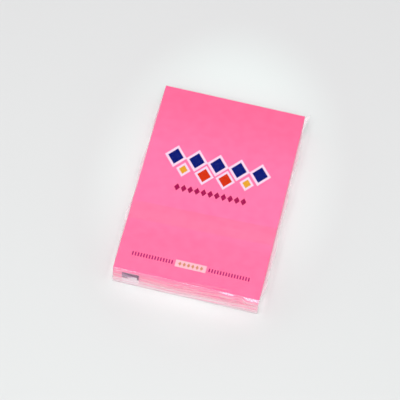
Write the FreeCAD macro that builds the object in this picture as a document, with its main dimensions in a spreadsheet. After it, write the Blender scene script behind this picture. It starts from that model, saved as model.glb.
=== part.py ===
"""A pad of sticky notes, still in the clear film that it is sold in.

The pad lies flat, printed cover up. X runs across its width, Y along its length and Z up through
the stack. The origin is the middle of the face that it rests on. All sizes are in millimetres.
"""

import FreeCAD, Part
import Sketcher
import math
import os
import re

from FreeCAD import Placement, Rotation, Vector

# A sketch's origin, the points of a curve, and the quarter of a circle that rounds each corner.

ORIGIN = -1
START, END, CENTRE = 1, 2, 3
CORNER_QUARTER = {(-1, -1): 0, (1, -1): 1, (1, 1): 2, (-1, 1): 3}

doc = FreeCAD.newDocument("sticky_note_pad")

# Driving dimensions, one row each: name, value, what it measures.

SIZES = [
    ("note_width", 51.0, "one note, left to right"),
    ("note_length", 76.0, "one note, near end to far end"),
    ("note_count", 99, "notes under the printed cover sheet"),
    ("sheet_pitch", 0.0955, "thickness of one note in the stack"),
    ("edge_jog", 0.05, "how far every second note sits back at its edges"),
    ("cover_thickness", 0.1, "printed top sheet"),
    ("backing_thickness", 0.12, "release sheet under the lowest note"),
    ("film_thickness", 0.05, "clear film"),
    ("film_clearance", 0.03, "slack between the film and the stack"),
    ("end_slack", 0.3, "slack of the film at the near and far ends"),
    ("film_bend", 0.3, "inner radius of the film where it turns over an end"),
    ("crease_stand", 0.2, "how far a pinched crease stands out of the near end"),
    ("crease_width", 0.6, "height of a crease along the near end"),
    ("low_crease", 2.0, "height of the lower crease above the table"),
    ("high_crease", 7.4, "height of the upper crease above the table"),
    ("seam_offset", 17.1, "middle of the pad to the film's sealed edge"),
    ("seam_skew", 1.5, "how far that edge runs askew over the pad's width"),
    ("seam_lap", 7.0, "length of the doubled film at the seam"),
    ("tuck_depth", 7.0, "film of each end folded in against the long side"),
    ("flap_lap", 3.2, "top flap over bottom flap on the long side"),
    ("tab_reach", 1.1, "how far the seam's loose end stands out at the left"),
    ("tab_near", 1.9, "that tab, from the sealed edge towards the near end"),
    ("tab_far", 3.8, "that tab, from the sealed edge towards the far end"),
    ("ear_reach", 1.7, "how far the film's point stands out past the right side"),
    ("ear_overhang", 0.7, "how far that point stands out past the far end"),
    ("ear_length", 10.0, "length of that point along the right side"),
    ("label_width", 6.0, "label on the near end"),
    ("label_height", 6.9, "that label, up the stack"),
    ("label_thickness", 0.08, "that label's paper"),
    ("label_corner", 0.4, "rounding of that label's corners"),
    ("label_inset", 3.05, "left side of the pad to the label"),
    ("label_base", 0.35, "table to the label's lower edge"),
]

sheet = doc.addObject("Spreadsheet::Sheet", "Sizes")
for row, (alias, value, meaning) in enumerate(SIZES, start=1):
    sheet.set(f"A{row}", alias)
    sheet.set(f"B{row}", str(value))
    sheet.set(f"C{row}", meaning)
    sheet.setAlias(f"B{row}", alias)

# Lengths that follow from the driving dimensions. Heights are above the table.

DERIVED = [
    ("backing_foot", "=film_thickness + film_clearance"),
    ("block_foot", "=backing_foot + backing_thickness"),
    ("cover_foot", "=block_foot + note_count * sheet_pitch"),
    ("film_ceiling", "=cover_foot + cover_thickness + film_clearance"),
    ("film_top", "=film_ceiling + film_thickness"),
    ("inner_end", "=note_length / 2 + end_slack"),
    ("outer_end", "=inner_end + film_thickness"),
    ("outer_bend", "=film_bend + film_thickness"),
    ("tuck_face", "=note_width / 2 + film_clearance"),
    ("sleeve_side", "=tuck_face + film_thickness"),
    ("flap_height", "=(film_top + flap_lap) / 2"),
    ("fold_end", "=outer_end - outer_bend"),
    ("seam_left", "=0 - seam_offset - seam_skew / 2"),
    ("seam_right", "=0 - seam_offset + seam_skew / 2"),
]
for row, (alias, formula) in enumerate(DERIVED, start=len(SIZES) + 1):
    sheet.set(f"A{row}", alias)
    sheet.set(f"B{row}", formula)
    sheet.setAlias(f"B{row}", alias)
doc.recompute()


def bound(expression):
    """The same expression, with each size read from the sheet."""
    return re.sub("[a-z_]+", r"Sizes.\g<0>", expression)


def value_of(expression):
    """What an expression of sizes comes to now, for a sketch's first drawing."""
    return float(sheet.evalExpression(expression))


def new_body(label):
    body = doc.addObject("PartDesign::Body", label)
    body.Label = label
    return body


def origin_plane(body, role):
    return next(f for f in body.Origin.OriginFeatures if f.Role == role)


def new_sketch(body, name, role, offset="0"):
    """A sketch on one of the body's own planes, moved off it by an offset."""
    sketch = body.newObject("Sketcher::SketchObject", name)
    sketch.AttachmentSupport = [(origin_plane(body, role), "")]
    sketch.MapMode = "FlatFace"
    sketch.AttachmentOffset = Placement(Vector(0, 0, value_of(offset)), Rotation())
    sketch.setExpression("AttachmentOffset.Base.z", bound(offset))
    return sketch


def hold(sketch, kind, *places, size):
    """One sized constraint, its value bound to the sheet."""
    index = sketch.addConstraint(Sketcher.Constraint(kind, *places, value_of(size)))
    sketch.setExpression(f"Constraints[{index}]", bound(size))


def pin(sketch, curve, vertex, across, up):
    """Hold one point of a curve at the given distances from the sketch's origin."""
    hold(sketch, "DistanceX", ORIGIN, START, curve, vertex, size=across)
    hold(sketch, "DistanceY", ORIGIN, START, curve, vertex, size=up)


def draw_rounding(sketch, across, up, radius, side, level):
    """A quarter circle in a corner. Its centre lies to the side and at the level given as signs."""
    middle = (f"{across} + {side} * {radius}", f"{up} + {level} * {radius}")
    centre = Vector(*map(value_of, middle), 0)
    quarter = CORNER_QUARTER[side, level]
    first, last = quarter * math.pi / 2, (quarter + 1) * math.pi / 2
    circle = Part.Circle(centre, Vector(0, 0, 1), value_of(radius))
    arc = sketch.addGeometry(Part.ArcOfCircle(circle, first, last))
    pin(sketch, arc, CENTRE, *middle)
    hold(sketch, "Radius", arc, size=radius)
    starts_level = quarter % 2 == 0
    ways = ("Horizontal", "Vertical") if starts_level else ("Vertical", "Horizontal")
    for way, vertex in zip(ways, (START, END)):
        sketch.addConstraint(Sketcher.Constraint(way, arc, CENTRE, arc, vertex))
    return arc


def draw_loop(sketch, corners):
    """A closed outline, drawn anticlockwise.

    A corner is (across, up), or (across, up, radius, side, level) for a rounded one.
    """
    arcs = [None if len(corner) == 2 else draw_rounding(sketch, *corner) for corner in corners]

    def meeting_points(index):
        """Where the outline reaches a corner and where it leaves it."""
        if arcs[index] is None:
            sharp = Vector(*map(value_of, corners[index]), 0)
            return sharp, sharp
        curve = sketch.Geometry[arcs[index]]
        return curve.StartPoint, curve.EndPoint

    lines = []
    for index in range(len(corners)):
        leave = meeting_points(index)[1]
        reach = meeting_points((index + 1) % len(corners))[0]
        lines.append(sketch.addGeometry(Part.LineSegment(leave, reach)))

    for index, (corner, arc) in enumerate(zip(corners, arcs)):
        before, after = lines[index - 1], lines[index]
        if arc is None:
            sketch.addConstraint(Sketcher.Constraint("Coincident", before, END, after, START))
            pin(sketch, after, START, *corner)
        else:
            sketch.addConstraint(Sketcher.Constraint("Coincident", before, END, arc, START))
            sketch.addConstraint(Sketcher.Constraint("Coincident", arc, END, after, START))


def rectangle(left, right, low, high):
    return [(left, low), (right, low), (right, high), (left, high)]


def pad(body, sketch, length, symmetric=False):
    """Thicken a sketch away from its plane, or to both sides of it."""
    feature = body.newObject("PartDesign::Pad", f"{sketch.Name}_pad")
    feature.Profile = sketch
    feature.SideType = "Symmetric" if symmetric else "One side"
    feature.Length = value_of(length)
    feature.setExpression("Length", bound(length))
    sketch.Visibility = False
    return feature


def sheet_of_paper(label, thickness, foot):
    """One plain sheet of the pad's full size."""
    body = new_body(label)
    outline = new_sketch(body, f"{label}_outline", "XY_Plane", foot)
    draw_loop(outline, rectangle(*NOTE_EDGES))
    pad(body, outline, thickness)
    return body


NOTE_EDGES = (
    "0 - note_width / 2",
    "note_width / 2",
    "0 - note_length / 2",
    "note_length / 2",
)


def make_note_block():
    """The notes, glued along one edge and trimmed together, as one solid.

    The core carries the notes that sit back a hair. The full-sized notes between them are one
    note repeated up the stack, so that all four sides show the pages.
    """
    body = new_body("note_block")
    core = new_sketch(body, "set_back_notes", "XY_Plane", "block_foot")
    core_edges = (
        "0 - note_width / 2 + edge_jog",
        "note_width / 2 - edge_jog",
        "0 - note_length / 2 + edge_jog",
        "note_length / 2 - edge_jog",
    )
    draw_loop(core, rectangle(*core_edges))
    pad(body, core, "note_count * sheet_pitch")

    note = new_sketch(body, "full_note", "XY_Plane", "block_foot")
    draw_loop(note, rectangle(*NOTE_EDGES))
    first_note = pad(body, note, "sheet_pitch")
    doc.recompute()

    stack = body.newObject("PartDesign::LinearPattern", "note_stack")
    stack.Originals = [first_note]
    stack.Direction = (note, ["N_Axis"])
    stack.Length = value_of("(note_count - 1) * sheet_pitch")
    stack.setExpression("Length", bound("(note_count - 1) * sheet_pitch"))
    stack.Occurrences = round(value_of("(note_count + 1) / 2"))
    stack.setExpression("Occurrences", bound("(note_count + 1) / 2"))
    body.Tip = stack
    return body


def make_end_label():
    """A small paper label stuck over the pages of the near end, at the left."""
    body = new_body("end_label")
    outline = new_sketch(body, "label_outline", "XZ_Plane", "note_length / 2")
    left = "0 - note_width / 2 + label_inset"
    right = f"{left} + label_width"
    low = "label_base"
    high = "label_base + label_height"
    radius = "label_corner"
    corners = [
        (left, low, radius, 1, 1),
        (right, low, radius, -1, 1),
        (right, high, radius, -1, -1),
        (left, high, radius, 1, -1),
    ]
    draw_loop(outline, corners)
    pad(body, outline, "label_thickness")
    return body


def crease(wall, height):
    """Three points of a crease in the near wall, from the top down."""
    above = (wall, f"{height} + crease_width / 2")
    ridge = (f"{wall} - crease_stand", height)
    below = (wall, f"{height} - crease_width / 2")
    return [above, ridge, below]


def make_film():
    """The film: a tube round the length of the pad, folded shut along both long sides.

    Each long side has the ends' tucks next to the pad, then the bottom flap, then the top flap,
    both with slanted ends. The tube's own seam is the lap across the top.
    """
    body = new_body("film_wrap")

    # The tube, seen from the side: its near wall has two pinched creases.
    tube = new_sketch(body, "tube_section", "YZ_Plane")
    near, far = "0 - outer_end", "outer_end"
    outer = [
        (far, "0", "outer_bend", -1, 1),
        (far, "film_top", "outer_bend", -1, -1),
        (near, "film_top", "outer_bend", 1, -1),
        *crease(near, "high_crease"),
        *crease(near, "low_crease"),
        (near, "0", "outer_bend", 1, 1),
    ]
    draw_loop(tube, outer)
    near, far = "0 - inner_end", "inner_end"
    inner = [
        (far, "film_thickness", "film_bend", -1, 1),
        (far, "film_ceiling", "film_bend", -1, -1),
        (near, "film_ceiling", "film_bend", 1, -1),
        *crease(near, "high_crease"),
        *crease(near, "low_crease"),
        (near, "film_thickness", "film_bend", 1, 1),
    ]
    draw_loop(tube, inner)
    pad(body, tube, "2 * sleeve_side", symmetric=True)
    doc.recompute()

    # The long side: a tuck from each end, the bottom flap, then the top flap over it.
    near_tuck = new_sketch(body, "near_tuck", "YZ_Plane", "tuck_face")
    fold = "0 - outer_end + tuck_depth"
    tuck_corners = [
        ("0 - outer_end", "0", "outer_bend", 1, 1),
        (fold, "0"),
        (fold, "film_top"),
        ("0 - outer_end", "film_top", "outer_bend", 1, -1),
    ]
    draw_loop(near_tuck, tuck_corners)

    far_tuck = new_sketch(body, "far_tuck", "YZ_Plane", "tuck_face")
    fold = "outer_end - tuck_depth"
    tuck_corners = [
        (fold, "0"),
        ("outer_end", "0", "outer_bend", -1, 1),
        ("outer_end", "film_top", "outer_bend", -1, -1),
        (fold, "film_top"),
    ]
    draw_loop(far_tuck, tuck_corners)

    bottom_flap = new_sketch(body, "bottom_flap", "YZ_Plane", "sleeve_side")
    flap_corners = [
        ("0 - fold_end", "0"),
        ("fold_end", "0"),
        ("fold_end - flap_height", "flap_height"),
        ("flap_height - fold_end", "flap_height"),
    ]
    draw_loop(bottom_flap, flap_corners)

    # The top flap steps out by one film where it passes over the bottom flap.
    top_flap = new_sketch(body, "top_flap", "YZ_Plane", "sleeve_side")
    run = "(film_top - flap_height)"
    flap_corners = [
        (f"{run} - fold_end", "flap_height"),
        (f"fold_end - {run}", "flap_height"),
        ("fold_end", "film_top"),
        ("0 - fold_end", "film_top"),
    ]
    draw_loop(top_flap, flap_corners)

    top_flap_lip = new_sketch(
        body, "top_flap_lip", "YZ_Plane", "sleeve_side + film_thickness"
    )
    step = "flap_height + film_thickness"
    run = f"(film_top - ({step}))"
    flap_corners = [
        ("flap_height - fold_end", "film_top - flap_height"),
        ("fold_end - flap_height", "film_top - flap_height"),
        (f"fold_end - {run}", step),
        (f"{run} - fold_end", step),
    ]
    draw_loop(top_flap_lip, flap_corners)

    side_layers = []
    for layer in (near_tuck, far_tuck, bottom_flap, top_flap, top_flap_lip):
        side_layers.append(pad(body, layer, "film_thickness"))
        doc.recompute()

    both_sides = body.newObject("PartDesign::Mirrored", "both_long_sides")
    both_sides.Originals = side_layers
    both_sides.MirrorPlane = (origin_plane(body, "YZ_Plane"), [""])
    body.Tip = both_sides
    doc.recompute()

    # The lap on top, the seam's loose end at the left, and the point at the far right corner.
    lap = new_sketch(body, "seam_lap", "XY_Plane", "film_top")
    lap_corners = [
        ("0 - sleeve_side", "seam_left"),
        ("sleeve_side", "seam_right"),
        ("sleeve_side", "seam_right + seam_lap"),
        ("0 - sleeve_side", "seam_left + seam_lap"),
    ]
    draw_loop(lap, lap_corners)

    tab = new_sketch(body, "seam_tab", "XY_Plane", "film_ceiling")
    tab_tip = "0 - sleeve_side - tab_reach"
    tab_corners = [
        ("0 - note_width / 2", "seam_left - tab_near"),
        ("0 - note_width / 2", "seam_left + tab_far"),
        (tab_tip, "seam_left + tab_far - tab_reach"),
        (tab_tip, "seam_left - tab_near + tab_reach / 2"),
    ]
    draw_loop(tab, tab_corners)

    ear = new_sketch(body, "corner_ear", "XY_Plane", "film_ceiling")
    ear_corners = [
        ("note_width / 2", "outer_end - ear_length"),
        ("sleeve_side + ear_reach", "outer_end + ear_overhang"),
        ("note_width / 2", "fold_end"),
    ]
    draw_loop(ear, ear_corners)

    for loose_end in (lap, tab, ear):
        body.Tip = pad(body, loose_end, "film_thickness")
        doc.recompute()
    return body


bodies = [
    sheet_of_paper("backing_sheet", "backing_thickness", "backing_foot"),
    make_note_block(),
    sheet_of_paper("cover_sheet", "cover_thickness", "cover_foot"),
    make_end_label(),
    make_film(),
]
doc.recompute()

for item in doc.Objects:
    if "Invalid" in item.State or "Error" in item.State:
        raise RuntimeError(f"{item.Label} did not build: {item.State}")
for body in bodies:
    if body.Shape.isNull() or not body.Shape.isValid():
        raise RuntimeError(f"{body.Label} has no valid shape")

os.makedirs("parts", exist_ok=True)
for body in bodies:
    body.Shape.exportStep(f"parts/{body.Label}.step")
    box = body.Shape.BoundBox
    print(
        f"{body.Label}: {len(body.Shape.Solids)} solid, {body.Shape.Volume:.2f} mm3,",
        f"X {box.XMin:.2f} {box.XMax:.2f}, Y {box.YMin:.2f} {box.YMax:.2f},",
        f"Z {box.ZMin:.3f} {box.ZMax:.3f}",
    )
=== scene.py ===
# %% [markdown]
# # A pad of sticky notes in its film
#
# The pad is a stack of pink notes with a printed cover sheet, wrapped in clear film. The packed
# frame gives every piece its size and place. This lesson gives each piece its true surface: a
# stack made of separate sheets, flat ink on the cover, and a film that wrinkles and shines.

import math

import bmesh
import bpy
import numpy as np
from mathutils import Matrix, Vector, noise


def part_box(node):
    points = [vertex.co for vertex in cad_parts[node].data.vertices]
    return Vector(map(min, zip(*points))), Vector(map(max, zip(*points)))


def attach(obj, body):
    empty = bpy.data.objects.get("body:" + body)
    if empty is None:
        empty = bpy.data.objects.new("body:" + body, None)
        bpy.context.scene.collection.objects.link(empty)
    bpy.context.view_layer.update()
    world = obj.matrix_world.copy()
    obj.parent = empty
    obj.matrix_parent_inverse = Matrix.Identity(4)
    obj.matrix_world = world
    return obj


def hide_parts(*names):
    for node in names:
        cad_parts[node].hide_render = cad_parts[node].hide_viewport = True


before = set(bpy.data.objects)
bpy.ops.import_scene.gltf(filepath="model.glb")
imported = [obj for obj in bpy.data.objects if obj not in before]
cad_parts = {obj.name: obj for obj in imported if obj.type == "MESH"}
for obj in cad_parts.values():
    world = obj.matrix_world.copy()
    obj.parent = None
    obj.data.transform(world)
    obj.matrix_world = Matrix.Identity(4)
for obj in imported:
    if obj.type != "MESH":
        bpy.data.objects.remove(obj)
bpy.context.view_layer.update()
MM = 0.001
scene = bpy.context.scene

# %% [markdown]
# ## The camera
#
# The photograph looks down at the pad from a step away. Its corners fix the view: where the
# camera stands, the point it looks at, its roll and its lens. A camera could be turned by hand
# until the corners match, but a place worked out from three angles is easier to read and change.

# %% Place the camera
AZIMUTH, ELEVATION, ROLL = (math.radians(a) for a in (8.717, 60.06, 5.258))
AIM = Vector((-3.766, 0.570, 0)) * MM
DISTANCE = 747.1 * MM
LENS = 190.29

back = Vector((
    math.sin(AZIMUTH) * math.cos(ELEVATION),
    -math.cos(AZIMUTH) * math.cos(ELEVATION),
    math.sin(ELEVATION),
))
level_right = Vector((math.cos(AZIMUTH), math.sin(AZIMUTH), 0))
level_up = back.cross(level_right)
right = math.cos(ROLL) * level_right + math.sin(ROLL) * level_up
up = back.cross(right)

camera = bpy.data.objects.new("camera", bpy.data.cameras.new("camera"))
scene.collection.objects.link(camera)
facing = Matrix((right, up, back)).transposed().to_4x4()
camera.matrix_world = Matrix.Translation(AIM + DISTANCE * back) @ facing
camera.data.lens = LENS
camera.data.sensor_width = 36
camera.data.clip_start, camera.data.clip_end = 0.01, 20
scene.camera = camera
print("camera at", [round(x, 4) for x in camera.location], "m")

# %% [markdown]
# ## Sums on sockets
#
# A finish is easier to read as a sum than as a drawing of nodes. `Value` wraps one socket, and
# Python's own signs add the Math nodes. `Wiring` holds the node tree and adds any other node from
# its type, its settings and what goes into its sockets. Both serve materials and Geometry Nodes.

# %% Write node trees as sums


class Value:
    """One output of a node, ready for sums."""

    def __init__(self, wiring, socket):
        self.wiring = wiring
        self.socket = socket

    def sum_node(self, operation, first, second):
        made = self.wiring.node("ShaderNodeMath", {"operation": operation}, {0: first, 1: second})
        return made.out(0)

    def __add__(self, other):
        return self.sum_node("ADD", self, other)

    def __radd__(self, other):
        return self.sum_node("ADD", other, self)

    def __sub__(self, other):
        return self.sum_node("SUBTRACT", self, other)

    def __rsub__(self, other):
        return self.sum_node("SUBTRACT", other, self)

    def __mul__(self, other):
        return self.sum_node("MULTIPLY", self, other)

    def __rmul__(self, other):
        return self.sum_node("MULTIPLY", other, self)

    def __pow__(self, other):
        return self.sum_node("POWER", self, other)

    def __abs__(self):
        return self.sum_node("ABSOLUTE", self, 0.0)


class Made:
    """A node that has been added, whose outputs are taken by name or number."""

    def __init__(self, wiring, node):
        self.wiring = wiring
        self.node = node

    def out(self, name):
        return Value(self.wiring, self.node.outputs[name])


class Wiring:
    """A node tree with one way to add a node."""

    def __init__(self, tree):
        self.tree = tree

    def node(self, kind, settings=None, sockets=None):
        node = self.tree.nodes.new(kind)
        for name, value in (settings or {}).items():
            setattr(node, name, value)
        for name, value in (sockets or {}).items():
            self.feed(node.inputs[name], value)
        return Made(self, node)

    def feed(self, socket, value):
        if isinstance(value, Value):
            self.tree.links.new(value.socket, socket)
        else:
            socket.default_value = value


# %% [markdown]
# ## Helpers for finishes
#
# Every finish here needs the same few things: the place on the piece, a soft step between two
# levels, clouds of noise, and a blend of two colours. Places are Object coordinates in metres, so
# the patterns keep their real scale on every piece.

# %% Start a finish and the patterns it uses


class Finish(Wiring):
    """A material: its shader's sockets are fed by sums over patterns."""

    def __init__(self, name):
        self.material = bpy.data.materials.new(name)
        self.material.use_nodes = True
        super().__init__(self.material.node_tree)
        self.tree.nodes.clear()
        self.place = self.node("ShaderNodeTexCoord").out("Object")

    def axes(self):
        apart = self.node("ShaderNodeSeparateXYZ", sockets={0: self.place})
        return [apart.out(axis) for axis in "XYZ"]

    def clouds(self, size, detail=3.0, stretch=(1, 1, 1)):
        """Noise from 0 to 1 whose spots are about one size across, in metres."""
        scaled = self.node(
            "ShaderNodeVectorMath",
            {"operation": "MULTIPLY"},
            {0: self.place, 1: [1 / (size * s) for s in stretch]},
        )
        sockets = {"Vector": scaled.out(0), "Scale": 1.0, "Detail": detail}
        return self.node("ShaderNodeTexNoise", {}, sockets).out(0)

    def step(self, value, low, high):
        """0 below low, 1 above high, smooth between."""
        sockets = {"Value": value, "From Min": low, "From Max": high}
        return self.node("ShaderNodeMapRange", {"interpolation_type": "SMOOTHSTEP"}, sockets).out(0)

    def blend(self, factor, first, second):
        """A colour between two, each a tuple or a Value."""
        sockets = {0: factor, 6: rgba(first), 7: rgba(second)}
        return self.node("ShaderNodeMix", {"data_type": "RGBA"}, sockets).out(2)

    def bump(self, height, depth, strength=1.0):
        """The normal over a height from 0 to 1 that is so many metres deep."""
        sockets = {"Strength": strength, "Distance": depth, "Height": height}
        return self.node("ShaderNodeBump", {}, sockets).out(0)

    def done(self, shader):
        output = self.node("ShaderNodeOutputMaterial")
        self.feed(output.node.inputs["Surface"], shader)
        return self.material


def rgba(colour):
    return colour if isinstance(colour, Value) else (*colour, 1.0)


# %% [markdown]
# ## Fluorescent paper
#
# The notes are pulp paper dyed a fluorescent pink. Up close the dye is slightly mottled and the
# fibres give a fine tooth. A flat colour would look like plastic, so clouds shift the colour a
# little, and a stretched fine noise raises the fibres. The cover is painted palest in the middle,
# a painted sheen, and deepest at the far end, painted shade for light falling off along the pad,
# so its finish blends two such pairs of colours along the pad. The cut edges of the notes are
# painted paler low down than just under the cover, a painted reflection of the pale table, and
# there the clouds are drawn out into streaks, as sheets differ a little in colour.

# %% Mix the paper finishes
COVER_PINK, COVER_PINK_DEEP = (0.970, 0.180, 0.372), (0.960, 0.164, 0.350)
# The far colours are painted shade; the cover is painted palest in the middle as a painted sheen.
FAR_PINK_SHADED, FAR_PINK_DEEP_SHADED = (0.900, 0.145, 0.307), (0.890, 0.131, 0.287)
# The edge colours are painted paler low down, a painted reflection of the pale table.
EDGE_PINK_BOUNCE_LIT, EDGE_PINK_DEEP_BOUNCE_LIT = (0.980, 0.380, 0.540), (0.930, 0.300, 0.460)
UPPER_PINK, UPPER_PINK_DEEP = (0.955, 0.240, 0.455), (0.930, 0.205, 0.425)
BACKING_WHITE = (0.86, 0.85, 0.84)
BACKING_SHADE = (0.80, 0.79, 0.78)


def painted_shade_ends(finish):
    """Painted shade on the cover: 1 at the far end, less at the near end and 0 between."""
    y = finish.axes()[1]
    return finish.step(y, 8 * MM, 38 * MM) + 0.65 * (1 - finish.step(y, -23 * MM, -14 * MM))


def painted_bounce_by_height(finish):
    """0 low on the notes, painted paler there as reflected table light, 1 at their top."""
    return finish.step(finish.axes()[2], 5.8 * MM, 9.4 * MM)


def paper(name, light, deep, others=None, share=None, mottle=3 * MM, stretch=(1, 1, 1)):
    """Mottled paper; others are the two colours that it takes where share is 1."""
    finish = Finish(name)
    spots = finish.step(finish.clouds(mottle, detail=4.0, stretch=stretch), 0.3, 0.7)
    fibres = finish.clouds(0.12 * MM, detail=2.0, stretch=(1.8, 1, 1))
    colour = finish.blend(spots, light, deep)
    if others:
        colour = finish.blend(share(finish), colour, finish.blend(spots, *others))
    shader = finish.node(
        "ShaderNodeBsdfPrincipled",
        {},
        {
            "Base Color": colour,
            "Roughness": 0.82 + 0.1 * fibres,
            "Specular IOR Level": 0.25,
            "Normal": finish.bump(fibres, 0.004 * MM),
        },
    )
    return finish.done(shader.out(0))


# The cover is painted deeper at its ends as painted shade, and palest in the middle as a sheen.
cover_paper = paper(
    "cover_paper", COVER_PINK, COVER_PINK_DEEP, (FAR_PINK_SHADED, FAR_PINK_DEEP_SHADED), painted_shade_ends
)
# The notes' edges are painted paler low down, a painted reflection of the pale table.
note_paper = paper(
    "note_paper",
    EDGE_PINK_BOUNCE_LIT,
    EDGE_PINK_DEEP_BOUNCE_LIT,
    (UPPER_PINK, UPPER_PINK_DEEP),
    painted_bounce_by_height,
    mottle=1 * MM,
    stretch=(9, 9, 0.15),
)
backing_paper = paper("backing_paper", BACKING_WHITE, BACKING_SHADE)
print("paper finishes:", cover_paper.name, note_paper.name, backing_paper.name)

# %% Dress the cover and the backing sheet


def dress(node, material):
    """Give a carried-over CAD node its finish."""
    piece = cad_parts[node]
    piece.data.materials.clear()
    piece.data.materials.append(material)
    return piece


dress("cover_sheet", cover_paper)
dress("backing_sheet", backing_paper)

# %% [markdown]
# ## The stack of notes
#
# The notes were cut together, so the stack's sides are flush but for a hair's play from sheet to
# sheet. A block with painted lines would go flat up close. Here Geometry Nodes lay one thin sheet
# at each level and shift it by a seeded hair, so that the edges catch the light one by one.

# %% Geometry Nodes helpers


class Rule(Wiring):
    """A Geometry Nodes tree with named inputs for its sizes."""

    def __init__(self, name):
        super().__init__(bpy.data.node_groups.new(name, "GeometryNodeTree"))
        self.interface = self.tree.interface
        self.interface.new_socket("Geometry", in_out="OUTPUT", socket_type="NodeSocketGeometry")
        self.entry = self.tree.nodes.new("NodeGroupInput")
        self.known = {}

    def size(self, name, value, kind="Float"):
        """A named input, with the value that a modifier gives it."""
        self.interface.new_socket(name, in_out="INPUT", socket_type=f"NodeSocket{kind}")
        self.known[name] = value
        return Value(self, self.entry.outputs[name])

    def end(self, geometry, material):
        realized = self.node("GeometryNodeRealizeInstances", {}, {0: geometry})
        finished = self.node(
            "GeometryNodeSetMaterial", {}, {"Geometry": realized.out(0), "Material": material}
        )
        exit_node = self.node("NodeGroupOutput")
        self.feed(exit_node.node.inputs[0], finished.out(0))

    def make(self, name):
        """Run the rule once and keep its result as a plain mesh."""
        host = bpy.data.objects.new(name, bpy.data.meshes.new(name))
        scene.collection.objects.link(host)
        modifier = host.modifiers.new("rule", "NODES")
        modifier.node_group = self.tree
        for item in self.interface.items_tree:
            if item.in_out == "INPUT":
                modifier[item.identifier] = self.known[item.name]
        evaluated = host.evaluated_get(bpy.context.evaluated_depsgraph_get())
        plain = bpy.data.meshes.new_from_object(evaluated)
        host.modifiers.clear()
        host.data = plain
        plain.name = name
        return host


def tell(piece):
    """Print what was made."""
    triangles = sum(len(face.vertices) - 2 for face in piece.data.polygons)
    print(f"{piece.name}: {triangles} triangles")


# %% Lay the notes
block_low, block_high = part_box("note_block")
NOTE_COUNT = 99
NOTE_JOG = 0.035 * MM
pitch = (block_high.z - block_low.z) / NOTE_COUNT
THIN = 0.97

rule = Rule("notes_in_a_stack")
count = rule.size("Count", NOTE_COUNT, "Int")
spacing = rule.size("Spacing", [0.0, 0.0, pitch], "Vector")
lowest = rule.size("Lowest", [0.0, 0.0, block_low.z + pitch / 2], "Vector")
sheet_size = rule.size(
    "Sheet",
    [
        block_high.x - block_low.x - 2 * NOTE_JOG,
        block_high.y - block_low.y - 2 * NOTE_JOG,
        pitch * THIN,
    ],
    "Vector",
)
least_jog = rule.size("Least jog", [-NOTE_JOG, -NOTE_JOG, 0.0], "Vector")
most_jog = rule.size("Most jog", [NOTE_JOG, NOTE_JOG, 0.0], "Vector")

levels = rule.node(
    "GeometryNodeMeshLine",
    {"mode": "OFFSET"},
    {"Count": count, "Start Location": lowest, "Offset": spacing},
)
note = rule.node("GeometryNodeMeshCube", {}, {"Size": sheet_size})
laid = rule.node(
    "GeometryNodeInstanceOnPoints", {}, {"Points": levels.out(0), "Instance": note.out(0)}
)
play = rule.node(
    "FunctionNodeRandomValue",
    {"data_type": "FLOAT_VECTOR"},
    {"Min": least_jog, "Max": most_jog, "Seed": 7},
)
jogged = rule.node(
    "GeometryNodeTranslateInstances", {}, {"Instances": laid.out(0), "Translation": play.out(0)}
)
rule.end(jogged.out(0), note_paper)

note_stack = rule.make("note_stack")
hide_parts("note_block")
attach(note_stack, "root")
tell(note_stack)

# %% [markdown]
# ## Ink on the cover
#
# The cover is printed in navy, orange, yellow and dark magenta, with a pale panel near the bottom.
# The print here is a plain garland: two staggered rows of diamonds with pale edges, a row of small
# ones under them, and fine dashes on both sides of the panel. Each row is one rule run with its
# own sizes. Ink has almost no thickness, but a flat mark needs a little height to lie over the
# paper. Where pale edges overlap, each mark is a hair higher than the last.

# %% Mix the inks
INK_TOOTH = 0.002 * MM


def ink(name, colour, worn):
    finish = Finish(name)
    cover = finish.clouds(0.9 * MM, detail=3.0)
    grain = finish.clouds(0.08 * MM, detail=1.0)
    shader = finish.node(
        "ShaderNodeBsdfPrincipled",
        {},
        {
            "Base Color": finish.blend(finish.step(cover, 0.45, 0.8), colour, worn),
            "Roughness": 0.6 + 0.15 * grain,
            "Specular IOR Level": 0.06,
            "Normal": finish.bump(grain, INK_TOOTH),
        },
    )
    return finish.done(shader.out(0))


navy_ink = ink("navy_ink", (0.001, 0.007, 0.148), (0.003, 0.012, 0.175))
orange_ink = ink("orange_ink", (0.580, 0.025, 0.002), (0.620, 0.040, 0.004))
yellow_ink = ink("yellow_ink", (0.700, 0.330, 0.025), (0.730, 0.370, 0.040))
pale_ink = ink("pale_ink", (0.790, 0.590, 0.740), (0.810, 0.540, 0.690))
magenta_ink = ink("magenta_ink", (0.335, 0.005, 0.075), (0.370, 0.008, 0.095))
fine_ink = ink("fine_ink", (0.390, 0.008, 0.130), (0.450, 0.020, 0.160))
panel_ink = ink("panel_ink", (0.880, 0.450, 0.520), (0.890, 0.500, 0.570))
tan_ink = ink("tan_ink", (0.560, 0.230, 0.130), (0.640, 0.290, 0.180))

# %% Print one row of marks
_, cover_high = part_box("cover_sheet")
PALE, INK = 0.010, 0.020
STEP = 0.0003


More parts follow.
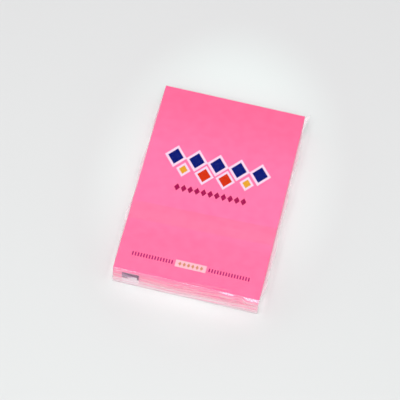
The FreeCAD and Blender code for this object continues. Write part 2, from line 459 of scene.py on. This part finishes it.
def print_row(name, material, count, first, pitch, size, top, diamond=True):
    """A row of flat marks on the cover: first centre, pitch, size and top above the paper, in mm."""
    depth = top * MM
    rule = Rule(name)
    how_many = rule.size("Count", count, "Int")
    start = rule.size("First", [first[0] * MM, first[1] * MM, cover_high.z + depth / 2], "Vector")
    offset = rule.size("Pitch", [pitch * MM, 0.0, STEP * MM], "Vector")
    shape = rule.size("Size", [size[0] * MM, size[1] * MM, depth], "Vector")
    places = rule.node(
        "GeometryNodeMeshLine",
        {"mode": "OFFSET"},
        {"Count": how_many, "Start Location": start, "Offset": offset},
    )
    if diamond:
        mark = rule.node(
            "GeometryNodeMeshCylinder", {}, {"Vertices": 4, "Radius": 0.5, "Depth": 1.0}
        )
    else:
        mark = rule.node("GeometryNodeMeshCube", {}, {"Size": [1.0, 1.0, 1.0]})
    row = rule.node(
        "GeometryNodeInstanceOnPoints",
        {},
        {"Points": places.out(0), "Instance": mark.out(0), "Scale": shape},
    )
    rule.end(row.out(0), material)
    piece = rule.make(name)
    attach(piece, "root")
    tell(piece)
    return piece


# %% Print the cover
UPPER, LOWER, SMALL, FINE = 10.2, 5.0, -1.9, -31.2

print_row("print_edge", pale_ink, 5, (-15.2, UPPER), 7.6, (7.9, 9.2), PALE)
print_row("print_edge_lower", pale_ink, 2, (-3.8, LOWER), 7.6, (7.0, 8.0), PALE - 0.004)
print_row("print_edge_side", pale_ink, 2, (-11.4, LOWER + 0.5), 22.8, (5.2, 6.0), PALE - 0.007)
print_row("print_navy", navy_ink, 5, (-15.2, UPPER), 7.6, (5.6, 6.5), INK)
print_row("print_orange", orange_ink, 2, (-3.8, LOWER), 7.6, (4.9, 5.6), INK)
print_row("print_yellow", yellow_ink, 2, (-11.4, LOWER + 0.5), 22.8, (3.1, 3.6), INK)
print_row("print_magenta", magenta_ink, 11, (-11.9, SMALL), 2.38, (2.1, 3.0), INK)
print_row("print_panel", panel_ink, 1, (0, FINE), 1, (10.8, 2.7), PALE, diamond=False)
print_row("print_tan", tan_ink, 6, (-3.8, FINE), 1.52, (1.15, 1.7), INK)
print_row("print_fine_left", fine_ink, 15, (-20.4, FINE), 0.99, (0.5, 1.5), INK, diamond=False)
print_row("print_fine_right", fine_ink, 15, (6.55, FINE), 0.99, (0.5, 1.5), INK, diamond=False)

# %% [markdown]
# ## The label on the near end
#
# A small label lies under the film at the left of the near end. It is grey at the top and white
# below, with a dark band along its top that thickens to the right and runs down that side, and a
# dark dash at the left. The CAD node has its true outline, so it stays, and masks over its width
# and height paint the rest.

# %% Paint the label
label_low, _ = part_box("end_label")
LABEL_WHITE = (0.900, 0.810, 0.860)
LABEL_GREY = (0.380, 0.180, 0.340)
LABEL_DARK = (0.060, 0.004, 0.070)


def label_paper():
    finish = Finish("label_paper")
    across, _, height = finish.axes()
    x = (across - label_low.x) * (1 / MM)
    z = (height - label_low.z) * (1 / MM) + (finish.clouds(1.8 * MM) - 0.5) * 0.8
    band = finish.step(z + x * 0.22, 6.2, 6.6)
    right_side = finish.step(x, 5.2, 5.4) * finish.step(z, 3.4, 3.7)
    at_left = 1 - finish.step(x, 1.8, 2.3)
    dash = at_left * finish.step(z, 3.1, 3.4) * (1 - finish.step(z, 4.1, 4.5))
    dark = 1 - (1 - band) * (1 - right_side) * (1 - dash)
    ground = finish.blend(finish.step(z - x * 0.35, 2.4, 4.2), LABEL_WHITE, LABEL_GREY)
    fibres = finish.clouds(0.12 * MM, detail=2.0)
    shader = finish.node(
        "ShaderNodeBsdfPrincipled",
        {},
        {
            "Base Color": finish.blend(dark, ground, LABEL_DARK),
            "Roughness": 0.55 + 0.1 * fibres,
            "Normal": finish.bump(fibres, 0.003 * MM),
        },
    )
    return finish.done(shader.out(0))


dress("end_label", label_paper())

# %% [markdown]
# ## The film as one folded sheet
#
# Real film of this kind is one sheet. It starts under the seam on top, runs over the near end,
# along the bottom, up the far end and back over the top, and there it lies on its own start. Past
# the long sides it is folded in like a parcel. So the mesh is one sheet too: each row of points
# crosses the pad and runs on down both sides. Walls glued together from panels would show no bends
# and no true lap.
#
# The path gives every row its place in the Y-Z plane. Rows are close together on the near end,
# where the wrinkles are. The bottom takes its rows from the top, so that both meet point for point
# halfway down the sides.

# %% Follow the film's path
film_low, film_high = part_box("film_wrap")
FILM = 0.05 * MM
film_top = cover_high.z + 0.08 * MM
film_end = cover_high.y + 0.35 * MM
side = cover_high.x + 0.08 * MM
BEND = 0.35 * MM
FOLD = 0.12 * MM
SEAM_LEFT, SEAM_RIGHT = -17.85 * MM, -16.35 * MM
LAP = 7 * MM
COLUMNS = 120

flat = film_end - BEND
over = film_top - BEND
across = np.linspace(-(side - FOLD), side - FOLD, COLUMNS)
seams = SEAM_LEFT + (SEAM_RIGHT - SEAM_LEFT) * (across + side) / (2 * side)


def level_rows(start, stop, rows, power=1.0):
    """Rows between two lines across the pad, the last one left out; each line may slant."""
    share = 1 - (1 - np.linspace(0, 1, rows, endpoint=False)[:, None]) ** power
    return start + (stop - start) * share


def bend(centre, first, rows):
    """Rows round a quarter bend about a centre in the Y-Z plane."""
    angle = np.radians(first + np.linspace(0, 90, rows, endpoint=False))[:, None]
    ring = np.stack((centre[0] + BEND * np.cos(angle), centre[1] + BEND * np.sin(angle)), axis=2)
    return np.repeat(ring, COLUMNS, axis=1)


def wall(y, start, stop, rows):
    """Rows up or down one end."""
    z = level_rows(start, stop, rows) + np.zeros(COLUMNS)
    return np.stack((np.full_like(z, y), z), axis=2)


near_y = level_rows(seams, -flat, 30, 1.6)
far_y = level_rows(flat, seams + LAP + 5 * MM, 24)
lap_y = level_rows(seams + LAP + 5 * MM, seams, 34)
last_y = seams[None, :]
top_y = np.vstack((far_y, lap_y, last_y, near_y[1:]))
under_y = top_y[::-1]
print("rows on top:", len(top_y))

# %% [markdown]
# The outer film of the lap lies a hair above the inner one. It lifts most in the middle of the lap
# and comes down to its free edge, so it mirrors a slightly higher part of the room there.

# %% Lay the sheet over the pad
LIFT_EDGE = 0.055
LIFT_MIDDLE = 0.075


def lap_lift(y):
    """How far the outer film stands above the top, in metres, at a distance from its edge."""
    reach = (y - seams) / MM
    rise = np.clip((12 - reach) / 9, 0, 1)
    droop = np.clip(1 - reach / 4.5, 0, 1)
    height = LIFT_MIDDLE * rise * rise * (3 - 2 * rise)
    return (height - (LIFT_MIDDLE - LIFT_EDGE) * droop * droop * (3 - 2 * droop)) * MM


def on_top(y, lift=0.0):
    return np.stack((y, np.full_like(y, film_top) + lift), axis=2)


outer_y = np.vstack((far_y, lap_y, last_y))
path = np.vstack((
    on_top(near_y),
    bend((-flat, over), 90, 8),
    wall(-film_end, over, BEND, 64),
    bend((-flat, BEND), 180, 6),
    np.stack((under_y, np.zeros_like(under_y)), axis=2),
    bend((flat, BEND), 270, 6),
    wall(film_end, BEND, over, 10),
    bend((flat, over), 0, 6),
    on_top(outer_y, lap_lift(outer_y)),
))
columns_x = np.broadcast_to(across[None, :, None], (*path.shape[:2], 1))
sheet = np.concatenate((columns_x, path), axis=2)
print("sheet:", sheet.shape[0], "rows by", sheet.shape[1], "columns")

# %% [markdown]
# ## Wrinkles
#
# The film is tight over the top and slack at the near end, where it puckers into long shallow
# folds beside the edge and a few short ones at the right corner. A cloth simulation could find
# such folds, but it can't place them. So each fold is a ridge between two points of the film, with
# a height and a width, and a little noise loosens the rest.
#
# A place on the near end is given by x and by the distance down from the top edge, both in mm.
# Above the edge that distance is negative and runs over the top. A puff is a stretch where the film
# stands off below the edge. It first slants out there, as steeply as it takes to mirror the lamp,
# and that makes the two bright spots at the right. Each fold also leaves painted light and shade on
# the film, a painted highlight along its crest and painted shade below it, which the finish reads.

# %% Raise the folds
FOLDS = [
    # from (x, down), to (x, down), height, width, in mm
    ((-24.8, 0.8), (-17.5, 1.2), 0.14, 0.40),
    ((-12.0, 0.5), (-1.0, 2.4), 0.26, 0.28),
    ((-14.0, 2.4), (3.0, 4.2), 0.12, 0.45),
    ((-1.5, 1.0), (6.5, 2.6), 0.14, 0.40),
    ((8.5, 4.4), (16.5, 3.0), 0.30, 0.30),
    ((16.0, 3.1), (20.0, 0.9), 0.30, 0.30),
    ((20.6, 0.3), (25.4, 1.3), 0.08, 0.45),
    ((19.0, 4.2), (25.4, 3.4), 0.20, 0.45),
    ((2.0, 6.0), (16.0, 5.4), 0.14, 0.45),
    ((14.0, 6.8), (25.4, 6.0), 0.16, 0.45),
    ((-16.5, 6.5), (2.0, 7.8), 0.18, 0.45),
    ((-25.2, 5.0), (-14.0, 5.8), 0.12, 0.45),
    ((4.0, 8.0), (24.0, 8.3), 0.16, 0.45),
    ((-14.0, -1.1), (1.0, -0.5), 0.09, 0.20),
    ((-9.0, -0.4), (4.5, 0.2), 0.09, 0.20),
]
PUFFS = [
    # from x, to x, how far the film stands off, in mm
    (-26.5, -16.0, 0.12),
    (-2.0, 4.5, 0.20),
    (11.4, 17.8, 0.62),
    (19.6, 27.0, 1.00),
]
SLANT = 0.58
SLANT_ROUND = 0.12
SLACK = 0.06
SLACK_SIZE = 3.5
BULGE = 0.50
BULGE_AT = 4.6
NEAR_ROWS = slice(16, 30 + 8 + 64 + 6)
EDGE_ROW = 30 + 4 - 16


def ridge(x, down, fold):
    """How far one fold stands out at each place, in mm."""
    (x0, d0), (x1, d1), height, width = fold
    run = np.array((x1 - x0, d1 - d0))
    length = np.hypot(*run)
    along = ((x - x0) * run[0] + (down - d0) * run[1]) / length**2
    beside = ((down - d0) * run[0] - (x - x0) * run[1]) / length
    ends = np.clip(np.minimum(along, 1 - along) * length / 1.5 + 0.5, 0, 1)
    return height * np.exp(-((beside / width) ** 2)) * ends * ends * (3 - 2 * ends)


def painted_fold_shading(x, down):
    """Painted light and shade of the folds: 1 along each crest and -1 just below it."""
    fold_shading = np.zeros_like(x)
    for fold in FOLDS:
        height, width = fold[2:]
        fold_shading += (ridge(x, down, fold) - ridge(x, down - 1.1 * width, fold)) / height
    return np.clip(fold_shading, -1, 1)


def slack(x, down):
    """A slow, seeded ripple of the loose film, in mm."""
    places = np.stack((x / SLACK_SIZE, down / SLACK_SIZE, np.zeros_like(x)), axis=-1)
    ripple = [noise.noise(Vector(p)) for p in places.reshape(-1, 3)]
    return SLACK * np.array(ripple).reshape(x.shape)


def smooth(value):
    value = np.clip(value, 0, 1)
    return value * value * (3 - 2 * value)


def puffed(x, down):
    """How far the film stands off below the edge, in mm."""
    reach = sum(size * smooth((x - x0) / 1.6) * smooth((x1 - x) / 1.6) for x0, x1, size in PUFFS)
    starts = (-SLANT_ROUND, 0.0, SLANT_ROUND)
    slant = sum(np.clip((down - start) / SLANT, 0, reach) for start in starts) / len(starts)
    return slant * smooth((4.0 - down) / 3.0)


def bulged(z):
    """The slack of the whole near end, fullest near its foot, in mm, by height in mm."""
    top = film_top / MM - 0.4
    rise = np.sin(np.clip((z - 0.2) / (BULGE_AT - 0.2), 0, 1) * math.pi / 2) ** 0.5
    return BULGE * rise * smooth((top - z) / (top - BULGE_AT))


def wrinkle(points):
    """Move the near end and its top edge outwards, and return the folds' painted light and shade."""
    part = points[NEAR_ROWS]
    x = part[..., 0] / MM
    steps = np.hypot(np.diff(part[..., 1], axis=0), np.diff(part[..., 2], axis=0)) / MM
    run = np.vstack((np.zeros((1, x.shape[1])), np.cumsum(steps, axis=0)))
    down = run - run[EDGE_ROW]
    push = sum(ridge(x, down, fold) for fold in FOLDS) + slack(x, down)
    push *= np.clip((down + 3.5) / 2.5, 0, 1) * np.clip((9.4 - down) / 1.2, 0, 1)
    turn = np.clip(0.5 + down / 0.9, 0, 1) * math.pi / 2
    out = push * np.sin(turn) + puffed(x, down) + bulged(part[..., 2] / MM) * (down > 0)
    part[..., 1] -= out * MM
    part[..., 2] += np.maximum(push, 0) * MM * np.cos(turn)
    fold_shading = np.zeros(points.shape[:2])
    fold_shading[NEAR_ROWS] = painted_fold_shading(x, down)
    return fold_shading


straight = path.copy()
fold_shading = wrinkle(sheet)
print("folds:", len(FOLDS), "tones from", round(fold_shading.min(), 2), "to", round(fold_shading.max(), 2))

# %% [markdown]
# ## The folded sides
#
# Past the pad's long sides the sheet is folded in: a tuck from each end, then the bottom flap, then
# the top flap, with slanted ends. The layers lie tight on each other. So each row simply turns the
# edge and runs on to the side's middle line, and steps out by one film wherever another layer
# starts. Loose layers with air between them would cost many more see-through faces and look alike.
#
# Between the tucks the flaps aren't drawn tight. They billow out a little just under the top edge,
# more on the right, and show as a pale rim along the paper.

# %% Fold the sides
FLAP = 6.54 * MM
TUCK = 7 * MM
SIDE_ROWS = 15
middle_z = film_top / 2
middle_y = np.clip(straight[..., 0], -(film_end - middle_z), film_end - middle_z)


def soft_step(distance, width=0.12 * MM):
    """0 outside a layer, 1 inside, by the distance in from its edge."""
    return smooth(0.5 + distance / width)


def layers(y, z):
    """How many films lie over the innermost one at a place on the side."""
    end = np.abs(y)
    tuck = soft_step(end - (film_end - TUCK))
    bottom = soft_step(FLAP - z) * soft_step(flat - z - end)
    top = soft_step(z - (film_top - FLAP)) * soft_step(flat - (film_top - z) - end)
    return np.clip(tuck + bottom + top - 1, 0, 2)


BILLOW = {-1: (0.70, 3.0), 1: (1.10, 3.0)}
BILLOW_SIZE = 9.0


def billow(y, z, sign):
    """How far the flaps stand off the stack, in metres, by their size in mm and how high they sit."""
    size, high = BILLOW[sign]
    along = smooth((film_end - np.abs(y)) / (9 * MM))
    rise = np.sin(np.clip(z / film_top, 0, 1) ** high * math.pi) ** 0.8
    places = np.stack((y / MM / BILLOW_SIZE, z / MM / 5, np.full_like(y, 3.0 * sign)), axis=-1)
    ripple = np.array([noise.noise(Vector(p)) for p in places.reshape(-1, 3)]).reshape(y.shape)
    return size * MM * rise * along * (1 + 0.8 * ripple)


def side_points(sign):
    """The columns of one side, from the fold down to the middle line."""
    column = 0 if sign < 0 else -1
    edge = sheet[:, column, 1:]
    target = np.stack((middle_y[:, column], np.full(len(edge), middle_z)), axis=1)
    distance = np.linalg.norm(target - edge, axis=1)[:, None]
    inwards = ((target - edge) / distance)[:, None, :]
    turn = np.radians(np.arange(18, 91, 18))
    down = np.broadcast_to(FOLD * (1 - np.cos(turn)), (len(edge), len(turn)))
    share = np.linspace(0, 1, SIDE_ROWS + 1)[1:]
    down = np.hstack((down, FOLD + (distance - FOLD) * share))
    place = edge[:, None, :] + inwards * down[..., None]
    round_fold = np.hstack((np.sin(turn) * FOLD - FOLD, np.zeros(SIDE_ROWS)))
    y, z = place[..., 0], place[..., 1]
    x = side + round_fold + (FILM * layers(y, z) + billow(y, z, sign)) * (round_fold == 0)
    columns = np.concatenate((sign * x[..., None], place), axis=2)
    return columns[:, ::-1] if sign < 0 else columns


wrap = np.concatenate((side_points(-1), sheet, side_points(1)), axis=1)
print("whole sheet:", wrap.shape[0], "rows by", wrap.shape[1], "columns")

# %% [markdown]
# ## Loose ends
#
# The start of the film lies hidden under the seam. Where the seam meets the left side a short tab
# of film stands out, and at the far right corner the fold leaves a point.

# %% Add the hidden start, the tab and the point
hidden = np.concatenate((
    np.broadcast_to(across[None, :, None], (13, COLUMNS, 1)),
    on_top(np.vstack((level_rows(seams + LAP, seams, 12), last_y))),
), axis=2)


def patch(near_inner, near_outer, far_outer, far_inner, rows=8):
    """A grid between four corners, given as (x, y) in metres, just under the film's top."""
    share = np.linspace(0, 1, rows)[:, None, None]
    near = np.array(near_inner) + (np.array(near_outer) - np.array(near_inner)) * share
    far = np.array(far_inner) + (np.array(far_outer) - np.array(far_inner)) * share
    between = near + (far - near) * np.linspace(0, 1, rows)[None, :, None]
    level = np.full(between.shape[:2] + (1,), film_top - FOLD)
    return np.concatenate((between, level), axis=2)


root = side - 0.01 * MM
tab = patch(
    (-root, SEAM_LEFT - 1.9 * MM),
    (film_low.x, SEAM_LEFT - 1.35 * MM),
    (film_low.x, SEAM_LEFT + 2.7 * MM),
    (-root, SEAM_LEFT + 3.8 * MM),
)
ear = patch(
    (root, film_end - 10 * MM),
    (side + 0.2 * MM, film_end - 8 * MM),
    (film_high.x, film_high.y),
    (root, flat),
)

# %% Join the sheets into one film


def film_mesh(name, grids, fold_shadings):
    """One mesh from grids, welded at shared points, with painted fold shading at each point."""
    points, faces = [], []
    for grid in grids:
        rows, cols = grid.shape[:2]
        base = len(points)
        points.extend(map(tuple, grid.reshape(-1, 3)))
        for r in range(rows - 1):
            for c in range(cols - 1):
                corner = base + r * cols + c
                faces.append((corner, corner + 1, corner + cols + 1, corner + cols))
    mesh = bpy.data.meshes.new(name)
    mesh.from_pydata(points, [], faces)
    mesh.attributes.new("fold_shading", "FLOAT", "POINT").data.foreach_set("value", np.concatenate(fold_shadings))
    made = bmesh.new()
    made.from_mesh(mesh)
    bmesh.ops.remove_doubles(made, verts=made.verts, dist=0.001 * MM)
    bmesh.ops.dissolve_degenerate(made, edges=made.edges, dist=0.0005 * MM)
    made.to_mesh(mesh)
    made.free()
    mesh.shade_smooth()
    return mesh


def outward(grid):
    """The grid with its columns turned round if its faces look at the pad's middle."""
    a, b, c = grid[0, 0], grid[0, 1], grid[1, 0]
    reach = a - np.array((0, 0, film_top / 2))
    return grid if np.cross(b - a, c - a) @ reach > 0 else grid[:, ::-1]


sheets = [outward(grid) for grid in (wrap, hidden, tab, ear)]
plain = (wrap.shape[1] - COLUMNS) // 2
fold_shading = np.pad(fold_shading, ((0, 0), (plain, plain)))
fold_shadings = [fold_shading.ravel()] + [np.zeros(grid.shape[0] * grid.shape[1]) for grid in sheets[1:]]
film = bpy.data.objects.new("film_skin", film_mesh("film_skin", sheets, fold_shadings))
scene.collection.objects.link(film)
thick = film.modifiers.new("thickness", "SOLIDIFY")
thick.thickness = FILM
thick.offset = -1
thick.use_rim = True
solid = bpy.data.meshes.new_from_object(film.evaluated_get(bpy.context.evaluated_depsgraph_get()))
solid.set_sharp_from_angle(angle=math.radians(45))
film.modifiers.clear()
film.data = solid

# %% [markdown]
# ## The film's finish
#
# Clear film bends light so little that three things show: what is behind it, a shine that grows
# towards a glancing view, and a milky haze. The haze whitens every crease seen at a glance, the
# tab and the point that stand out at the sides, and the lap a little, partly as the doubled film's
# own milkiness and partly as a painted sheen. Low on the near end it is a painted reflection of
# the pale table, and its pink tint is painted pink light bounced from the paper. Along each fold's
# crest it is a painted highlight. On the long sides it grows with the number of films, so the
# folded flaps show. The tight film over the top shines least. A glass shader would send every lamp
# through two refractions and leave the paper dark. So the finish mixes a see-through shader with a
# white one, with a dark pink one as painted shade below the folds, and then with a glossy one.

# %% Mix the film's finish
FACE_ON, FACE_ON_LOOSE = 0.012, 0.029
# The foot's haze is a painted reflection of the pale table, low on the near end.
HAZE_GLANCING, HAZE_PAINTED_REFLECTION, HAZE_OUT, HAZE_LAP_AND_SHEEN, HAZE_FLAP = 0.60, 0.29, 0.28, 0.006, 0.045
# The crest's haze is a painted highlight along each fold; the shade is painted shade below it.
CREST_PAINTED_HIGHLIGHT, SHADE = 0.15, 0.20
SHADE_PINK = (1.000, 0.130, 0.370)
# The haze's pink tint is painted pink light bounced from the paper.
HAZE_WHITE_PINK_BOUNCE = (1.00, 0.87, 0.92)
FOOT_LOW, FOOT_HIGH = 2.5 * MM, 7.5 * MM
OUT_LOW, OUT_HIGH = 5 * MM, 8 * MM


def film_count(finish, y, z):
    """How many films lie on each other at a place on a long side."""
    end, edge = abs(y), 0.06 * MM
    tuck = finish.step(end, film_end - TUCK - edge, film_end - TUCK + edge)
    bottom = finish.step(FLAP - z, -edge, edge) * finish.step(flat - z - end, -edge, edge)
    top = finish.step(z, film_top - FLAP - edge, film_top - FLAP + edge)
    slanted = finish.step(z - end, film_top - flat - edge, film_top - flat + edge)
    return tuck + bottom + top * slanted


def clear_film():
    finish = Finish("clear_film")
    grain = finish.clouds(1.4 * MM, detail=3.0, stretch=(2.5, 1, 1))
    milky = finish.clouds(2.2 * MM, detail=3.0, stretch=(3, 1, 1))
    facing = finish.node("ShaderNodeLayerWeight", {}, {"Blend": 0.5}).out("Facing")
    x, y, z = finish.axes()
    loose = 1 - finish.step(y, 0.1 * MM - film_end, 0.9 * MM - film_end)
    on_side = finish.step(abs(x), side - 0.06 * MM, side - 0.02 * MM)
    films = on_side * film_count(finish, y, z)
    slack_here = 1 - (1 - loose) * (1 - on_side)
    shine = FACE_ON + (FACE_ON_LOOSE - FACE_ON) * slack_here + (1 - FACE_ON) * facing**5.0
    # Painted reflection of the pale table, low on the near end.
    painted_reflection_low = loose * (1 - finish.step(z, FOOT_LOW, FOOT_HIGH))
    out = finish.step(abs(x), side, side + 0.3 * MM) * finish.step(z, OUT_LOW, OUT_HIGH)
    out = out * (1 - 0.4 * finish.step(z, film_top - 0.7 * MM, film_top - 0.3 * MM))
    # The folds' painted highlight along each crest and painted shade below it.
    fold_shading = finish.node("ShaderNodeAttribute", {"attribute_name": "fold_shading"}).out("Fac")
    # The lap's haze is partly the doubled film's milkiness and partly a painted sheen.
    reach = y - (SEAM_LEFT + SEAM_RIGHT) / 2 - x * ((SEAM_RIGHT - SEAM_LEFT) / (2 * side))
    past_lap = finish.step(reach, LAP - 1 * MM, LAP + 1 * MM)
    lap = finish.step(reach, -0.1 * MM, 0.1 * MM) * (1 - past_lap)
    haze_and_painted_reflection = HAZE_GLANCING * facing**5.0 + HAZE_PAINTED_REFLECTION * painted_reflection_low + HAZE_OUT * out + HAZE_FLAP * films
    haze = haze_and_painted_reflection * (0.5 + milky) + HAZE_LAP_AND_SHEEN * lap + CREST_PAINTED_HIGHLIGHT * finish.step(fold_shading, 0.0, 1.0)
    shade = SHADE * (1 - finish.step(fold_shading, -1.0, 0.0))
    through = finish.node("ShaderNodeBsdfTransparent", {}, {"Color": (1, 1, 1, 1)})
    white = finish.node("ShaderNodeBsdfDiffuse", {}, {"Color": rgba(HAZE_WHITE_PINK_BOUNCE)})
    uneven = finish.bump(grain + 4 * films, 0.01 * MM)
    gloss = finish.node(
        "ShaderNodeBsdfGlossy",
        {},
        {"Color": (1, 1, 1, 1), "Roughness": 0.12, "Normal": uneven},
    )
    body = finish.node("ShaderNodeMixShader", {}, {0: haze, 1: through.out(0), 2: white.out(0)})
    dark = finish.node("ShaderNodeBsdfDiffuse", {}, {"Color": rgba(SHADE_PINK)})
    shaded = finish.node("ShaderNodeMixShader", {}, {0: shade, 1: body.out(0), 2: dark.out(0)})
    mixed = finish.node("ShaderNodeMixShader", {}, {0: shine, 1: shaded.out(0), 2: gloss.out(0)})
    return finish.done(mixed.out(0))


film.data.materials.append(clear_film())
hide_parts("film_wrap")
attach(film, "root")
tell(film)

# %% [markdown]
# ## Table and light
#
# The pad lies on a pale, matt sheet under soft light. The sheet is painted paler in a pool round
# the pad and paler still beside the long sides, where the photograph shows hardly any shade: this
# is painted light over the pad's own shade. Towards the near end it is painted a shade darker,
# against the lamp's falloff. A large lamp over the near end gives the shadows and the shine on the
# folds. The room is pale all round but for a dark gap high up behind the pad. That gap and the
# ceiling above it are what the flat film mirrors towards the camera, so its veil fades towards the
# far end.

# %% Lay the table
# The near colour is painted a little darker than the far one, painted shade against the lamp.
TABLE_NEAR_SHADED = (0.632, 0.644, 0.642)
TABLE_FAR = (0.648, 0.650, 0.653)
# The pool round the pad and the band beside its long sides are painted light over its shade.
TABLE_PAINTED_POOL = (0.745, 0.800, 0.786)
TABLE_PAINTED_CLOSE = (0.870, 0.940, 0.920)


def table_top():
    finish = Finish("table")
    speckle = finish.clouds(2.5 * MM, detail=4.0)
    x, y, _ = finish.axes()
    # Painted a shade darker towards the near end, against the lamp's falloff.
    lift = finish.step(y + 0.01 * speckle, -0.10, 0.11)
    squeezed = finish.node(
        "ShaderNodeVectorMath",
        {"operation": "MULTIPLY_ADD"},
        {0: finish.place, 1: (1 / 0.026, 1 / 0.038, 0), 2: (0, -0.3, 0)},
    )
    distance = finish.node("ShaderNodeVectorMath", {"operation": "LENGTH"}, {0: squeezed.out(0)})
    # A painted pool of light round the pad, and painted light beside its long sides.
    painted_light_pool = 1 - finish.step(distance.out("Value"), 0.9, 1.9)
    beside = 1 - finish.step(abs(x), block_high.x + 0.5 * MM, block_high.x + 3.2 * MM)
    along = finish.step(block_high.y + 2 * MM - abs(y), 0, 7 * MM)
    plain = finish.blend(lift, TABLE_NEAR_SHADED, TABLE_FAR)
    with_painted_pool = finish.blend(painted_light_pool, plain, TABLE_PAINTED_POOL)
    shader = finish.node(
        "ShaderNodeBsdfPrincipled",
        {},
        {
            "Base Color": finish.blend(beside * along, with_painted_pool, TABLE_PAINTED_CLOSE),
            "Roughness": 0.75,
            "Specular IOR Level": 0.2,
            "Normal": finish.bump(speckle, 0.02 * MM),
        },
    )
    return finish.done(shader.out(0))


REACH = 1.5
table = bpy.data.objects.new("table", bpy.data.meshes.new("table"))
corners = [(-REACH, -REACH, 0), (REACH, -REACH, 0), (REACH, REACH, 0), (-REACH, REACH, 0)]
table.data.from_pydata(corners, [], [(0, 1, 2, 3)])
table.data.materials.append(table_top())
table.location.z = -0.01 * MM
scene.collection.objects.link(table)

# %% Hang the lamp
LAMP_POWER = 1.55
LAMP_SIDE = 0.25
LAMP_PLACE = Vector((0.0, -0.22, 0.52))

lamp = bpy.data.objects.new("soft_lamp", bpy.data.lights.new("soft_lamp", "AREA"))
lamp.data.energy = LAMP_POWER
lamp.data.size = LAMP_SIDE
lamp.location = LAMP_PLACE
lamp.rotation_mode = "QUATERNION"
lamp.rotation_quaternion = (-LAMP_PLACE).to_track_quat("-Z", "Y")
scene.collection.objects.link(lamp)

# %% Light the sky
ROOM_FRONT = 1.00
ROOM_BEHIND = 0.85
CEILING_BEHIND = 1.00
WALL_ENDS = 0.62, 0.74
CEILING_STARTS = 0.857, 0.891


def sky():
    world = bpy.data.worlds.new("sky")
    world.use_nodes = True
    world.node_tree.nodes.clear()
    wiring = Wiring(world.node_tree)
    direction = wiring.node("ShaderNodeTexCoord").out("Generated")
    apart = wiring.node("ShaderNodeSeparateXYZ", sockets={0: direction})
    height, behind = apart.out("Z"), apart.out("Y")

    def soft(value, low, high, start, stop):
        sockets = {"Value": value, 1: low, 2: high, 3: start, 4: stop}
        settings = {"interpolation_type": "SMOOTHSTEP"}
        return wiring.node("ShaderNodeMapRange", settings, sockets).out(0)

    wall_behind = soft(height, *WALL_ENDS, ROOM_BEHIND, 0.0)
    ceiling_behind = soft(height, *CEILING_STARTS, 0.0, CEILING_BEHIND)
    share = soft(behind, 0.0, 0.3, 0.0, 1.0)
    strength = ROOM_FRONT + share * (wall_behind + ceiling_behind - ROOM_FRONT)
    light = wiring.node("ShaderNodeBackground", {}, {"Color": (1, 1, 1, 1), "Strength": strength})
    output = wiring.node("ShaderNodeOutputWorld")
    wiring.feed(output.node.inputs["Surface"], light.out(0))
    return world


scene.world = sky()
scene.view_settings.view_transform = "Standard"
print("lamp", LAMP_POWER, "W; room", ROOM_FRONT, "in front,", ROOM_BEHIND, "behind")
